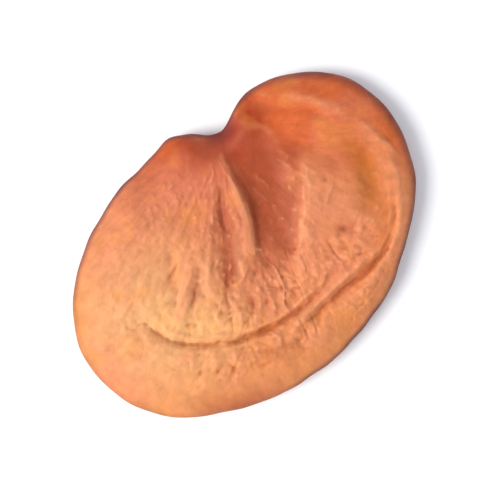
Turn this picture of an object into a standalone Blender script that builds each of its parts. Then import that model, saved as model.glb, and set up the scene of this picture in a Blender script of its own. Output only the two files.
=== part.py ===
"""A dry butea seed, whole in its coat, lying on one of its two broad faces.

The seed grew as one piece, so it is one solid. X runs along the seed, from the heel to the
head, and the notch with the hilum looks towards +Y. The origin is under the middle of the
seed, on the surface that it lies on.
"""

import math
from collections import namedtuple

import bmesh
import bpy
import numpy as np

MM = 0.001

# Driving dimensions. The outline starts from an oval; with its shoulders and its notch the
# seed is 32.5 mm long and 22.6 mm wide, and it is 4.2 mm thick.
OVAL_LENGTH = 32.1 * MM
OVAL_WIDTH = 22.9 * MM
MARGIN_HEIGHT = 1.60 * MM  # the widest line, above what the seed lies on
TOP_SWELL = 2.55 * MM  # upper face above that line
UNDER_SWELL = 1.63 * MM  # lower face below it, before the resting spot is made flat

# How full the two faces are: 2 is an ellipse, more is flatter with a rounder margin.
TOP_FULLNESS = 4.6
UNDER_FULLNESS = 2.6
HEAD_THICKER = 0.07  # share of the thickness that the head gains and the heel loses

# Both faces are sunken inside a broad smooth rim. Places on a face are told by their share
# of the way from the middle to the margin.
SINK_DEPTH = 0.34 * MM
SINK_INNER, SINK_OUTER = 0.34, 0.84
UNDER_SINK_DEPTH = 0.22 * MM
UNDER_SINK_INNER, UNDER_SINK_OUTER = 0.50, 0.90
UNDER_CALM, UNDER_WORK = 0.26, 0.46  # no relief inside the first, all of it outside the second

# Swells of the outline, by angle from +X: (degrees, half width, height).
OUTLINE_SWELLS = (
    (20, 18, 0.85 * MM),  # the head's shoulder
    (155, 22, 0.50 * MM),  # the heel's shoulder
    (80, 5, 0.25 * MM),  # lip beside the notch
    (96, 12, -0.45 * MM),  # flat flank behind the lip
    (-40, 14, -0.30 * MM),  # flatter under the head
    (222, 18, -0.25 * MM),  # flatter under the heel
)
NOTCH_ANGLE = 58
NOTCH_DEPTH = 2.4 * MM
NOTCH_HEAD_SIDE, NOTCH_HEEL_SIDE = 9.5, 17  # degrees

# The hilum is a lens-shaped scar in the notch, with a slit in a low ring.
HILUM_HALF_LENGTH = 1.6 * MM
HILUM_HALF_WIDTH = 0.55 * MM
HILUM_SLIT_DEPTH = 0.30 * MM
HILUM_SLIT_SHARE = 0.75  # of the scar's half length and half width
HILUM_RING_HEIGHT = 0.14 * MM
HILUM_RING_PLACE, HILUM_RING_SHARE = 1.25, 0.45
HILUM_REACH = 4  # how close to the margin the scar stays: more is closer

# Raised or sunken folds of a face, in millimetres. A fold runs through the points of its
# route, and falls away within near on its left and far on its right, seen from its start.
# Its point tells its section: 2 is a soft bell, less is a crease, and more is flat in the
# middle. Its taper tells how soon it reaches its full height: less is sooner.
Fold = namedtuple("Fold", "name height near far route point taper", defaults=(2.0, 0.7))
GROOVE_ROUTE = (
    (-9.7, 3.0), (-10.1, 0.7), (-9.3, -1.5), (-6.6, -4.2), (-2.7, -5.9), (0.6, -6.4), (3.6, -6.3),
)
GROOVE_LIP_ROUTE = ((-11.0, -0.6), (-9.2, -3.6), (-5.6, -6.2), (-1.4, -7.3), (1.4, -7.3))
SECOND_GROOVE_ROUTE = ((-2.0, -7.9), (1.2, -7.6), (4.2, -7.9), (7.2, -8.0), (10.1, -6.7), (12.0, -4.8))
SECOND_LIP_ROUTE = ((1.2, -9.3), (4.9, -9.4), (8.7, -8.4), (11.4, -6.4), (13.1, -4.0), (13.8, -1.2))
MAIN_VALLEY_ROUTE = ((5.9, 7.4), (5.3, 4.2), (3.9, 1.5), (1.9, -1.2), (-0.2, -3.6))
UNDER_GROOVE_ROUTE = ((-10.4, -3.0), (-6.4, -5.9), (-0.8, -6.9), (4.6, -6.9), (9.4, -5.2))
TOP_FOLDS = (
    Fold("main crest", 0.40, 0.40, 1.5, ((4.2, 7.8), (2.9, 4.6), (1.7, 1.6), (0.1, -1.4)), 1.6),
    Fold("main valley", -0.66, 1.9, 1.7, MAIN_VALLEY_ROUTE, 4.0, 0.6),
    Fold("valley step", 0.30, 1.3, 0.6, ((9.2, 3.4), (7.1, -0.1), (4.9, -1.8), (2.4, -3.6), (0.0, -5.0))),
    Fold("left valley", -0.28, 0.8, 0.9, ((2.2, 5.6), (0.7, 3.6), (-1.2, 0.9), (-3.9, -1.6))),
    Fold("left ridge", 0.22, 0.8, 0.8, ((2.6, 6.8), (0.2, 4.4), (-2.9, 2.0), (-4.8, -0.4))),
    Fold("heel valley", -0.20, 0.7, 0.7, ((-2.6, 2.8), (-4.9, 0.8), (-6.4, -0.2), (-8.4, -1.6)), 1.8),
    Fold("heel ridge", 0.20, 0.7, 0.7, ((-2.4, 4.4), (-4.6, 1.9), (-7.1, 0.4), (-8.8, -0.4))),
    Fold("outer heel valley", -0.22, 0.7, 0.7, ((-3.4, 5.4), (-5.1, 3.9), (-6.9, 1.6), (-8.6, 0.8)), 1.6),
    Fold("groove", -0.46, 0.5, 0.5, GROOVE_ROUTE, 1.6),
    Fold("groove lip", 0.26, 0.7, 0.7, GROOVE_LIP_ROUTE),
    Fold("second groove", -0.46, 0.5, 0.5, SECOND_GROOVE_ROUTE, 1.6),
    Fold("second lip", 0.30, 0.8, 0.8, SECOND_LIP_ROUTE),
    Fold("head hollow", -0.26, 1.1, 1.1, ((12.0, 1.4), (11.7, -1.3), (10.3, -3.8), (8.4, -5.4))),
    Fold("head shoulder", 0.18, 1.0, 1.0, ((11.2, 7.2), (12.2, 4.6), (13.4, 1.4))),
    Fold("hilum hollow", -0.34, 1.1, 1.1, ((7.4, 9.0), (8.9, 6.9), (9.3, 4.2))),
)
UNDER_FOLDS = (
    Fold("crest", 0.24, 1.3, 0.7, ((4.9, 6.8), (4.0, 3.0), (4.4, -0.6), (5.6, -4.2)), 1.7),
    Fold("valley", -0.34, 1.0, 1.5, ((6.3, 6.4), (6.2, 2.8), (7.2, -1.0))),
    Fold("heel valley", -0.26, 1.0, 1.2, ((2.0, 6.6), (-2.6, 4.6), (-7.4, 2.4))),
    Fold("heel ridge", 0.16, 1.0, 1.0, ((-1.0, 7.6), (-5.4, 5.6), (-9.4, 2.2))),
    Fold("groove", -0.24, 0.7, 0.7, UNDER_GROOVE_ROUTE),
)
ROUTE_STEPS = 10  # between two points of a route
MARGIN_FADE = 10  # how close to the margin the relief goes on: more is closer

# Wrinkles fan out from the hilum over the sunken field.
WRINKLE_HEIGHT = 0.075 * MM
WRINKLES_PER_TURN = 40
WRINKLE_WAVES = ((1.0, 0.0, 1.00), (1.37, 1.9, 0.60), (0.54, 4.1, 0.75))  # pitch, phase, share
WRINKLE_SWAY = 0.10  # radians that a wrinkle wanders
WRINKLE_SWAY_LENGTH = 2.4 * MM
WRINKLE_SWAY_TWIST = 3.0
WRINKLE_START, WRINKLE_FULL = 2.0 * MM, 6.0 * MM  # from the hilum
WRINKLE_INNER, WRINKLE_OUTER = 0.62, 0.90
WRINKLE_HEADING, WRINKLE_FAN = 240, 48  # degrees: where the fan points, and its half width

SEGMENTS = 116
RINGS = 50
TOP_RINGS = 35  # of the rings, those on the upper face, which has the finer relief
COAT_COLOUR = (0.70, 0.24, 0.10, 1.0)
COAT_ROUGHNESS = 0.5


def smooth_step(low, high, value):
    """0 below low, 1 above high, and a smooth ramp between them."""
    share = np.clip((value - low) / (high - low), 0.0, 1.0)
    return share * share * (3.0 - 2.0 * share)


def bell(value):
    """1 at 0, falling away smoothly on both sides."""
    return np.exp(-value * value)


def turn_from(angle, centre):
    """The turn from centre to angle, in degrees from -180 to 180."""
    return (angle - centre + 180.0) % 360.0 - 180.0


def outline_radius(turn):
    """How far the margin is from the middle, at angles in radians: an oval with swells and a notch."""
    degrees = np.degrees(turn)
    radius = 1.0 / np.hypot(np.cos(turn) / (OVAL_LENGTH / 2), np.sin(turn) / (OVAL_WIDTH / 2))
    for centre, half_width, height in OUTLINE_SWELLS:
        radius = radius + height * bell(turn_from(degrees, centre) / half_width)
    off = turn_from(degrees, NOTCH_ANGLE)
    side = np.where(off < 0, NOTCH_HEAD_SIDE, NOTCH_HEEL_SIDE)
    return radius - NOTCH_DEPTH * bell(off / side)


def hilum_place():
    """The middle of the hilum, on the margin."""
    turn = math.radians(NOTCH_ANGLE)
    radius = float(outline_radius(np.array(turn)))
    return radius * math.cos(turn), radius * math.sin(turn)


def curve_through(route):
    """A smooth line through the route's points (a Catmull-Rom spline), as closely spaced points."""
    points = np.array(route) * MM
    ends = np.vstack([2 * points[0] - points[1], points, 2 * points[-1] - points[-2]])
    line = []
    for before, start, end, after in zip(ends, ends[1:], ends[2:], ends[3:]):
        for step in range(ROUTE_STEPS):
            t = step / ROUTE_STEPS
            bend = (2 * before - 5 * start + 4 * end - after) * t**2
            twist = (3 * start - before - 3 * end + after) * t**3
            line.append((2 * start + (end - before) * t + bend + twist) / 2)
    line.append(points[-1])
    return np.array(line)


def along_and_across(x, y, line):
    """For each place, where along the line its nearest point is (0 to 1), and how far to its left."""
    place = np.stack([x, y], axis=-1)[:, None, :]
    start, step = line[:-1], np.diff(line, axis=0)
    length = np.linalg.norm(step, axis=1)
    offset = place - start
    share = np.clip((offset * step).sum(-1) / length**2, 0.0, 1.0)
    gap = offset - share[..., None] * step
    distance = np.linalg.norm(gap, axis=-1)
    nearest = distance.argmin(axis=1)
    row = np.arange(len(x))
    before = np.concatenate([[0.0], np.cumsum(length)])
    along = (before[nearest] + share[row, nearest] * length[nearest]) / before[-1]
    left = step[nearest, 0] * offset[row, nearest, 1] - step[nearest, 1] * offset[row, nearest, 0]
    return along, np.where(left > 0, 1.0, -1.0) * distance[row, nearest]


def fold_height(fold, x, y):
    """The height of one fold: full on its line half way along, and nothing at its ends."""
    along, across = along_and_across(x, y, curve_through(fold.route))
    width = np.where(across > 0, fold.near, fold.far) * MM
    section = np.exp(-(np.abs(across / width) ** fold.point))
    return fold.height * MM * np.maximum(np.sin(np.pi * along), 0.0) ** fold.taper * section


def wrinkle_height(x, y, outward):
    """Wrinkles that run away from the hilum: waves over the angle about it, which sway as they go."""
    hilum_x, hilum_y = hilum_place()
    distance = np.hypot(x - hilum_x, y - hilum_y)
    angle = np.arctan2(y - hilum_y, x - hilum_x)
    sway = WRINKLE_SWAY * np.sin(distance / WRINKLE_SWAY_LENGTH + WRINKLE_SWAY_TWIST * angle)
    wave = sum(
        share * np.sin(WRINKLES_PER_TURN * pitch * (angle + sway) + phase)
        for pitch, phase, share in WRINKLE_WAVES
    )
    field = 1.0 - smooth_step(WRINKLE_INNER, WRINKLE_OUTER, outward)
    field = field * smooth_step(WRINKLE_START, WRINKLE_FULL, distance)
    field = field * bell(turn_from(np.degrees(angle), WRINKLE_HEADING) / WRINKLE_FAN)
    return WRINKLE_HEIGHT * field * wave / sum(share for _, _, share in WRINKLE_WAVES)


def top_height(x, y, outward, thickness):
    """The upper face: a full dome with a sunken field, its folds and its wrinkles."""
    dome = TOP_SWELL * thickness * np.sqrt(1.0 - outward**TOP_FULLNESS)
    sink = SINK_DEPTH * (1.0 - smooth_step(SINK_INNER, SINK_OUTER, outward))
    relief = sum(fold_height(fold, x, y) for fold in TOP_FOLDS) + wrinkle_height(x, y, outward)
    return MARGIN_HEIGHT + dome - sink + relief * (1.0 - outward**MARGIN_FADE)


def under_height(x, y, outward, thickness):
    """The lower face: a flatter dome with a few folds round the small flat spot that it rests on."""
    dome = UNDER_SWELL * thickness * np.sqrt(1.0 - outward**UNDER_FULLNESS)
    work = smooth_step(UNDER_CALM, UNDER_WORK, outward)
    sink = UNDER_SINK_DEPTH * work * (1.0 - smooth_step(UNDER_SINK_INNER, UNDER_SINK_OUTER, outward))
    relief = sum(fold_height(fold, x, y) for fold in UNDER_FOLDS)
    return np.maximum(MARGIN_HEIGHT - dome + sink - work * relief * (1.0 - outward**MARGIN_FADE), 0.0)


def hilum_push(turn, height):
    """How far the margin is pushed out at the hilum: a sunken slit inside a low ring."""
    radius = float(outline_radius(np.array(math.radians(NOTCH_ANGLE))))
    along = np.radians(turn_from(np.degrees(turn), NOTCH_ANGLE)) * radius / HILUM_HALF_LENGTH
    across = (height - MARGIN_HEIGHT) / HILUM_HALF_WIDTH
    reach = np.hypot(along, across)
    ring = HILUM_RING_HEIGHT * bell((reach - HILUM_RING_PLACE) / HILUM_RING_SHARE)
    return ring - HILUM_SLIT_DEPTH * bell(reach / HILUM_SLIT_SHARE)


def seed_points(sphere):
    """Moves the points of a unit sphere to the seed's surface.

    The sphere's poles become the middles of the two faces, and its ring TOP_RINGS the margin.
    """
    turn = np.arctan2(sphere[:, 1], sphere[:, 0])
    ring = np.arccos(np.clip(sphere[:, 2], -1.0, 1.0)) / math.pi * RINGS
    on_top = ring <= TOP_RINGS + 0.5
    share = np.where(on_top, ring / TOP_RINGS, (RINGS - ring) / (RINGS - TOP_RINGS))
    outward = np.sin(np.clip(share, 0.0, 1.0) * math.pi / 2)
    radius = outward * outline_radius(turn)
    x, y = radius * np.cos(turn), radius * np.sin(turn)
    thickness = 1.0 + HEAD_THICKER * x / (OVAL_LENGTH / 2)
    height = np.where(
        on_top,
        top_height(x, y, outward, thickness),
        under_height(x, y, outward, thickness),
    )
    push = hilum_push(turn, height) * outward**HILUM_REACH
    return np.stack([x + push * np.cos(turn), y + push * np.sin(turn), height], axis=1)


def seed_mesh():
    """The seed's closed surface, shaped from a UV sphere, with its middle over the origin."""
    shape = bmesh.new()
    bmesh.ops.create_uvsphere(shape, u_segments=SEGMENTS, v_segments=RINGS, radius=1.0)
    points = seed_points(np.array([vertex.co for vertex in shape.verts], dtype=np.float64))
    points[:, :2] -= (points[:, :2].min(axis=0) + points[:, :2].max(axis=0)) / 2
    for vertex, point in zip(shape.verts, points):
        vertex.co = point
    bmesh.ops.triangulate(shape, faces=shape.faces, quad_method="SHORT_EDGE")
    bmesh.ops.recalc_face_normals(shape, faces=shape.faces)
    mesh = bpy.data.meshes.new("seed")
    shape.to_mesh(mesh)
    shape.free()
    mesh.shade_smooth()
    return mesh


def coat_material():
    """The dry seed coat: satin, orange brown."""
    material = bpy.data.materials.new("seed_coat")
    material.use_nodes = True
    shader = material.node_tree.nodes["Principled BSDF"]
    shader.inputs["Base Color"].default_value = COAT_COLOUR
    shader.inputs["Roughness"].default_value = COAT_ROUGHNESS
    shader.inputs["Metallic"].default_value = 0.0
    return material


def main():
    """Clears the scene and adds the seed."""
    for item in list(bpy.data.objects):
        bpy.data.objects.remove(item)
    mesh = seed_mesh()
    mesh.materials.append(coat_material())
    seed = bpy.data.objects.new("seed", mesh)
    bpy.context.scene.collection.objects.link(seed)


main()
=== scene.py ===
"""A dry butea seed, lying on one of its broad faces: its finished surface, colours and studio.

The seed is one surface. Each face is a grid bent into a disc, carried out to the kidney-shaped
outline and raised by formulas: a full dome, a sunken field inside the rim, folds that fan out
from the hilum, two grooves inside the rim, wrinkles and crinkled skin. X runs from the seed's
heel to its head, and Y towards the notch with the hilum. Lengths are in millimetres in the
dataclasses, and in metres in the mesh.
"""

import logging
import math
from dataclasses import dataclass
from enum import Enum

import bpy
import numpy as np
from mathutils import Matrix, Vector


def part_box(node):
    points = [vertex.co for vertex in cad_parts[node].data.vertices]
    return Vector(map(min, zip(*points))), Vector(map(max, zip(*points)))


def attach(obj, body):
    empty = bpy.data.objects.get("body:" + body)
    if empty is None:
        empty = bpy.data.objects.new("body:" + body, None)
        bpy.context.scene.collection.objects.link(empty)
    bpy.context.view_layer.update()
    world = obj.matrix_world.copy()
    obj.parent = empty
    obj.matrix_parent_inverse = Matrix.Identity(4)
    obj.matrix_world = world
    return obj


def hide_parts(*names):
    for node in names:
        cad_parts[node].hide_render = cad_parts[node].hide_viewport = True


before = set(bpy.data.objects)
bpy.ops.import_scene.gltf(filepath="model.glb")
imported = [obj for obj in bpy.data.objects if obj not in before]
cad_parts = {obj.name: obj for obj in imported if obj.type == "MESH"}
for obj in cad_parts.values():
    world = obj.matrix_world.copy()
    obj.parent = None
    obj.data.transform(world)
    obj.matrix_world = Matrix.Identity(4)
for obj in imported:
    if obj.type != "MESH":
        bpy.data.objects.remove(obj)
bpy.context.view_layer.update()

log = logging.getLogger("butea_seed")
MM = 0.001
LIGHT_GAIN = 1.3  # the studio's light, as a multiple of the light that shows colours as they are
NOTCH_ANGLE = 58.0  # where the notch is, in degrees from +X
FAN_MIDDLE = math.radians(NOTCH_ANGLE + 180.0)  # the way from the hilum straight across the face
FAN_REACH = 9.5  # a usual distance from the hilum in mm, which turns the fan's angle into a width
# Each edge is where something begins, and where it is whole.
HEAD_WAY = (0.72, 0.69)  # the direction in which the head is reached
HEAD_EDGE = (5.0, 8.4)  # the head, in mm that way from the middle
HILUM_EDGE = (2.0, 5.0)  # the head and the rim's lumps, in mm from the hilum
FIELD_EDGE = (2.5, 6.5)  # the crinkled field, in mm from the hilum
RIM_EDGE = (0.70, 0.86)  # the rim, as shares of the way to the margin
Array = np.ndarray
Route = tuple[tuple[float, float], ...]
Colour = tuple[float, float, float]
Socket = bpy.types.NodeSocket


def smooth_step(low: float | Array, high: float, value: Array) -> Array:
    """0 below low, 1 above high, and 3s^2 - 2s^3 of the share s between them."""
    share = np.clip((value - low) / (high - low), 0.0, 1.0)
    return share * share * (3.0 - 2.0 * share)


def bell(value: Array) -> Array:
    """e to the minus value squared: 1 at 0, falling away on both sides."""
    return np.exp(-value * value)


def turn_from(angle: Array, centre: float) -> Array:
    """The turn from centre to angle, in degrees from -180 to 180."""
    return (angle - centre + 180.0) % 360.0 - 180.0


def display_colour(red: int, green: int, blue: int) -> Colour:
    """The coat's colour that shows as given on a screen (0 to 255), under the studio's light.

    Args:
        red, green, blue: the screen's values.

    Returns:
        The three linear values: (v + 0.055) / 1.055 to the power 2.4, over the light's gain.
    """
    screen = (red, green, blue)
    return tuple(((value / 255 + 0.055) / 1.055) ** 2.4 / LIGHT_GAIN for value in screen)


def lattice_noise(across: Array, along: Array, seed: int) -> Array:
    """Smooth seeded noise from -1 to 1, one bump to a cell of the two coordinates.

    Every corner of a unit lattice has a random height, and a place between corners blends the
    four round it with the weights 6s^5 - 15s^4 + 10s^3.

    Args:
        across: first coordinate, in cells.
        along: second coordinate, in cells.
        seed: picks the random heights.

    Returns:
        The noise at each place.
    """
    size = 256
    corners = np.random.default_rng(seed).uniform(-1.0, 1.0, (size, size))
    column = np.floor(across).astype(int)
    row = np.floor(along).astype(int)
    s = across - column
    t = along - row
    s = s * s * s * (s * (6 * s - 15) + 10)
    t = t * t * t * (t * (6 * t - 15) + 10)
    west, east = column % size, (column + 1) % size
    south, north = row % size, (row + 1) % size
    low = corners[west, south] * (1 - s) + corners[east, south] * s
    high = corners[west, north] * (1 - s) + corners[east, north] * s
    return low * (1 - t) + high * t


def pillow_gap(across: Array, along: Array, seed: int) -> Array:
    """How far inside its own pillow of the skin a place is.

    The pillows' middles are the corners of a unit lattice, each moved by a random draw. The gap
    is the distance to the second nearest middle, less the distance to the nearest.

    Args:
        across: first coordinate, in pillows.
        along: second coordinate, in pillows.
        seed: picks the random draws.

    Returns:
        0 on the crease between two pillows, and up to about 1 in the middle of one.
    """
    size = 256
    moved = np.random.default_rng(seed).uniform(0.08, 0.92, (2, size, size))
    east, north = (steps.ravel() for steps in np.meshgrid([-1, 0, 1], [-1, 0, 1]))
    column = np.floor(across).astype(int)[:, None] + east
    row = np.floor(along).astype(int)[:, None] + north
    offset_x = column + moved[0][column % size, row % size] - across[:, None]
    offset_y = row + moved[1][column % size, row % size] - along[:, None]
    distance = np.sort(np.hypot(offset_x, offset_y), axis=1)
    return distance[:, 1] - distance[:, 0]


class Side(Enum):
    """The seed's two broad faces."""

    UPPER = "upper"
    LOWER = "lower"


class StainAndPaintedLight(Enum):
    """Tints that some folds carry, each by the vertex attribute that holds it: real stains, and on
    some folds painted shade (red) and painted highlight (pale).
    """

    RED = "red_stain_and_shade"
    OLIVE = "stain_olive"
    AMBER = "stain_amber"
    STRAW = "stain_straw"
    PALE = "pale_wear_and_highlight"


RED, OLIVE, AMBER, STRAW, PALE = StainAndPaintedLight


@dataclass(frozen=True)
class Fold:
    """A raised or sunken line of a face.

    Its height is sin(pi s)^taper along its length, eased in over the first and last eighth, and
    e^-(d/width)^point across it, where width is near on its left and far on its right, seen from
    its start. A point near 1 is a sharp crease, 2 a soft roll, and more a flat-bottomed valley.
    Tint is the strength of its colour, which on some folds is a real stain, on others painted
    shade, and on others painted highlight; a fold with no height only colours. Calm is the share by
    which it smooths the crinkles, and steps how many pieces its line has from point to point.
    """

    name: str
    height: float
    near: float
    far: float
    route: Route
    point: float = 2.0
    taper: float = 0.7
    stain_and_painted_light: StainAndPaintedLight | None = None
    tint: float = 1.0
    calm: float = 0.0
    steps: int = 10

    def centre_line(self) -> Array:
        """The smooth line through the route's points: a Catmull-Rom spline.

        Returns:
            Points along the line, in millimetres.
        """
        points = np.array(self.route)
        ends = np.vstack([2 * points[0] - points[1], points, 2 * points[-1] - points[-2]])
        t = (np.arange(self.steps) / self.steps)[None, :, None]
        before, start, end, after = (ends[i : len(ends) - 3 + i, None, :] for i in range(4))
        bend = (2 * before - 5 * start + 4 * end - after) * t**2
        twist = (3 * start - before - 3 * end + after) * t**3
        line = (2 * start + (end - before) * t + bend + twist) / 2
        return np.vstack([line.reshape(-1, 2), points[-1]])

    def profile(self, x: Array, y: Array) -> Array:
        """The fold's share of its full height, at places of the face.

        Args:
            x, y: places, in millimetres from the outline's middle.

        Returns:
            1 on the fold's line half way along it, and 0 away from it.
        """
        line = self.centre_line()
        reach = max(self.near, self.far) * 7.0 ** (1 / self.point)  # where e^-7 of it is left
        low, high = line.min(axis=0) - reach, line.max(axis=0) + reach
        close = (x > low[0]) & (x < high[0]) & (y > low[1]) & (y < high[1])
        place = np.stack([x[close], y[close]], axis=-1)[:, None, :]
        start, step = line[:-1], np.diff(line, axis=0)
        length = np.linalg.norm(step, axis=1)
        offset = place - start
        share = np.clip((offset * step).sum(-1) / length**2, 0.0, 1.0)
        distance = np.linalg.norm(offset - share[..., None] * step, axis=-1)
        nearest = distance.argmin(axis=1)
        row = np.arange(len(nearest))
        run = np.concatenate([[0.0], np.cumsum(length)])
        along = (run[nearest] + share[row, nearest] * length[nearest]) / run[-1]
        offset = offset[row, nearest]
        left = step[nearest, 0] * offset[:, 1] - step[nearest, 1] * offset[:, 0] > 0
        across = distance[row, nearest] / np.where(left, self.near, self.far)
        height = np.zeros_like(x)
        taper = np.maximum(np.sin(np.pi * along), 0.0) ** self.taper
        taper = taper * smooth_step(0.0, 0.12, np.minimum(along, 1.0 - along))
        height[close] = taper * np.exp(-(across**self.point))
        return height


@dataclass(frozen=True)
class Outline:
    """The margin's shape: an oval with swells, and a notch that is steeper on the head's side."""

    length: float = 32.1
    width: float = 22.9
    swells: tuple[tuple[float, float, float], ...] = (
        (20, 18, 0.85),  # the head's shoulder: degrees, half width in degrees, height
        (155, 22, 0.50),  # the heel's shoulder
        (80, 5, 0.25),  # lip beside the notch
        (96, 12, -0.45),  # flat flank behind the lip
        (-40, 14, -0.30),  # flatter under the head
        (222, 18, -0.25),  # flatter under the heel
    )
    notch_angle: float = NOTCH_ANGLE
    notch_depth: float = 2.4
    notch_head_side: float = 9.5
    notch_heel_side: float = 17.0
    ripple: float = 0.035
    ripples: tuple[tuple[int, float, float], ...] = (
        (11, 1.0, 1.0),  # waves round the seed, phase, share of the ripple
        (19, 2.6, 0.7),
        (31, 0.4, 0.5),
    )

    def radius(self, turn: Array) -> Array:
        """How far the margin is from the middle.

        Args:
            turn: angles from +X, in radians.

        Returns:
            The oval's radius, plus a bell for each swell, less the notch's two-sided bell, plus
            the ripples' small waves.
        """
        degrees = np.degrees(turn)
        radius = 1.0 / np.hypot(np.cos(turn) / (self.length / 2), np.sin(turn) / (self.width / 2))
        for centre, half_width, height in self.swells:
            radius = radius + height * bell(turn_from(degrees, centre) / half_width)
        off = turn_from(degrees, self.notch_angle)
        side = np.where(off < 0, self.notch_head_side, self.notch_heel_side)
        waves = sum(share * np.sin(count * turn + phase) for count, phase, share in self.ripples)
        return radius - self.notch_depth * bell(off / side) + self.ripple * waves

    def hilum(self) -> tuple[float, float]:
        """The middle of the hilum, at the bottom of the notch."""
        turn = math.radians(self.notch_angle)
        radius = float(self.radius(np.array(turn)))
        return radius * math.cos(turn), radius * math.sin(turn)


@dataclass(frozen=True)
class Ground:
    """Where the grid's points lie on a face, measured in the ways that the relief needs.

    x and y are in millimetres, outward is the share of the way to the margin, turn the angle
    about the middle and fan the angle about the hilum (radians from straight away from the
    notch), and away the distance from the hilum.
    """

    x: Array
    y: Array
    outward: Array
    turn: Array
    fan: Array
    away: Array

    @classmethod
    def over(cls, outline: Outline, turn: Array, outward: Array) -> "Ground":
        """The ground of a disc of places.

        Args:
            outline: the margin.
            turn: angles from +X, in radians.
            outward: shares of the way to the margin.

        Returns:
            The ground, with its two angles measured from the side opposite the notch, so that
            their jump falls in the notch.
        """
        radius = outward * outline.radius(turn)
        x, y = radius * np.cos(turn), radius * np.sin(turn)
        hilum_x, hilum_y = outline.hilum()
        opposite = outline.notch_angle + 180.0
        fan = np.degrees(np.arctan2(y - hilum_y, x - hilum_x))
        return cls(
            x=x,
            y=y,
            outward=outward,
            turn=np.radians(turn_from(np.degrees(turn), opposite)),
            fan=np.radians(turn_from(fan, opposite)),
            away=np.hypot(x - hilum_x, y - hilum_y),
        )

    def head(self) -> Array:
        """1 over the smooth head: past a line beside the hilum, and clear of the hilum itself."""
        over = smooth_step(*HEAD_EDGE, HEAD_WAY[0] * self.x + HEAD_WAY[1] * self.y)
        return over * smooth_step(*HILUM_EDGE, self.away)

    def rim(self) -> Array:
        """0 over the field and 1 on the rim: a smooth step over outward."""
        return smooth_step(*RIM_EDGE, self.outward)

    def field(self) -> Array:
        """1 over the wrinkled field, 0.15 over the head, 0.2 on the rim and 0 beside the hilum."""
        open_field = (1.0 - 0.85 * self.head()) * (1.0 - 0.8 * self.rim())
        return open_field * smooth_step(*FIELD_EDGE, self.away)


@dataclass(frozen=True)
class Spot:
    """A round spot of a face: its strength times e^-(distance/radius)^2."""

    x: float
    y: float
    radius: float
    strength: float = 1.0

    def over(self, ground: Ground) -> Array:
        """The spot's value at places of the face."""
        return self.strength * bell(np.hypot(ground.x - self.x, ground.y - self.y) / self.radius)


@dataclass(frozen=True)
class Bumps:
    """Seeded noise over a face: bumps of one size, as high or deep as the strength."""

    strength: float
    size: float
    seed: int

    def over(self, ground: Ground) -> Array:
        """The noise at places of the face."""
        return self.strength * lattice_noise(ground.x / self.size, ground.y / self.size, self.seed)


UPPER_FOLDS = (
    Fold("main crest", 0.4, 0.4, 1.5, ((4.2, 7.8), (2.9, 4.6), (1.7, 1.6), (0.1, -1.4)), 1.6,
         calm=0.7),
    Fold("main valley", -0.66, 1.9, 1.7, ((5.9, 7.4), (5.3, 4.2), (3.9, 1.5), (1.9, -1.2),
         (-0.2, -3.6)), 4.0, 0.6, stain_and_painted_light=RED, tint=0.5, calm=0.45),
    # Painted shade: red at the crest's foot, where the crest's shadow falls into the valley.
    Fold("valley shade", 0.0, 1.9, 0.9, ((5.2, 7.0), (4.4, 4.2), (3.1, 1.8), (1.2, -0.8),
         (-0.6, -2.9)), stain_and_painted_light=RED, tint=0.55),
    Fold("valley step", 0.3, 1.3, 0.6, ((9.2, 3.4), (7.1, -0.1), (4.9, -1.8), (2.4, -3.6),
         (0.0, -5.0)), stain_and_painted_light=PALE),
    Fold("left valley", -0.28, 0.8, 0.9, ((2.2, 5.6), (0.7, 3.6), (-1.2, 0.9), (-3.9, -1.6)),
         stain_and_painted_light=RED, tint=0.65),
    Fold("left ridge", 0.22, 0.8, 0.8, ((2.6, 6.8), (0.2, 4.4), (-2.9, 2.0), (-4.8, -0.4))),
    Fold("heel valley", -0.2, 0.7, 0.7, ((-2.6, 2.8), (-4.9, 0.8), (-6.4, -0.2), (-8.4, -1.6)),
         1.8),
    Fold("heel ridge", 0.2, 0.7, 0.7, ((-2.4, 4.4), (-4.6, 1.9), (-7.1, 0.4), (-8.8, -0.4)),
         stain_and_painted_light=PALE),
    Fold("outer heel valley", -0.22, 0.7, 0.7, ((-3.4, 5.4), (-5.1, 3.9), (-6.9, 1.6), (-8.6, 0.8)),
         1.6),
    Fold("groove", -0.46, 0.5, 0.5, ((-9.7, 3.0), (-10.1, 0.7), (-9.3, -1.5), (-6.6, -4.2),
         (-2.7, -5.9), (0.6, -6.4), (3.6, -6.3)), 1.6, calm=0.8),
    Fold("groove lip", 0.26, 0.7, 0.7, ((-11.0, -0.6), (-9.2, -3.6), (-5.6, -6.2), (-1.4, -7.3),
         (1.4, -7.3))),
    Fold("second groove", -0.46, 0.5, 0.5, ((-2.0, -7.9), (1.2, -7.6), (4.2, -7.9), (7.2, -8.0),
         (10.1, -6.7), (12.0, -4.8)), 1.6, calm=0.8),
    # A raised lip whose pale tint is painted light, on the rim's side that the lamp leaves darker.
    Fold("second lip", 0.3, 0.8, 0.8, ((1.2, -9.3), (4.9, -9.4), (8.7, -8.4), (11.4, -6.4),
         (13.1, -4.0), (13.8, -1.2)), stain_and_painted_light=PALE, tint=0.5),
    Fold("head hollow", -0.26, 1.1, 1.1, ((12.0, 1.4), (11.7, -1.3), (10.3, -3.8), (8.4, -5.4)),
         stain_and_painted_light=OLIVE),
    Fold("head shoulder", 0.18, 1.0, 1.0, ((11.2, 7.2), (12.2, 4.6), (13.4, 1.4))),
    Fold("smooth field", 0.03, 2.0, 1.8, ((9.4, 2.4), (8.2, -1.6), (6.6, -4.6), (4.8, -6.0)),
         stain_and_painted_light=PALE, tint=0.5, calm=0.75),
    Fold("strands", 0.04, 0.8, 0.8, ((-1.6, -6.6), (0.6, -7.0), (2.8, -7.3), (5.4, -7.6)),
         calm=0.9),
    Fold("hilum hollow", -0.34, 1.1, 1.1, ((7.4, 9.0), (8.9, 6.9), (9.3, 4.2))),
)
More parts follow.
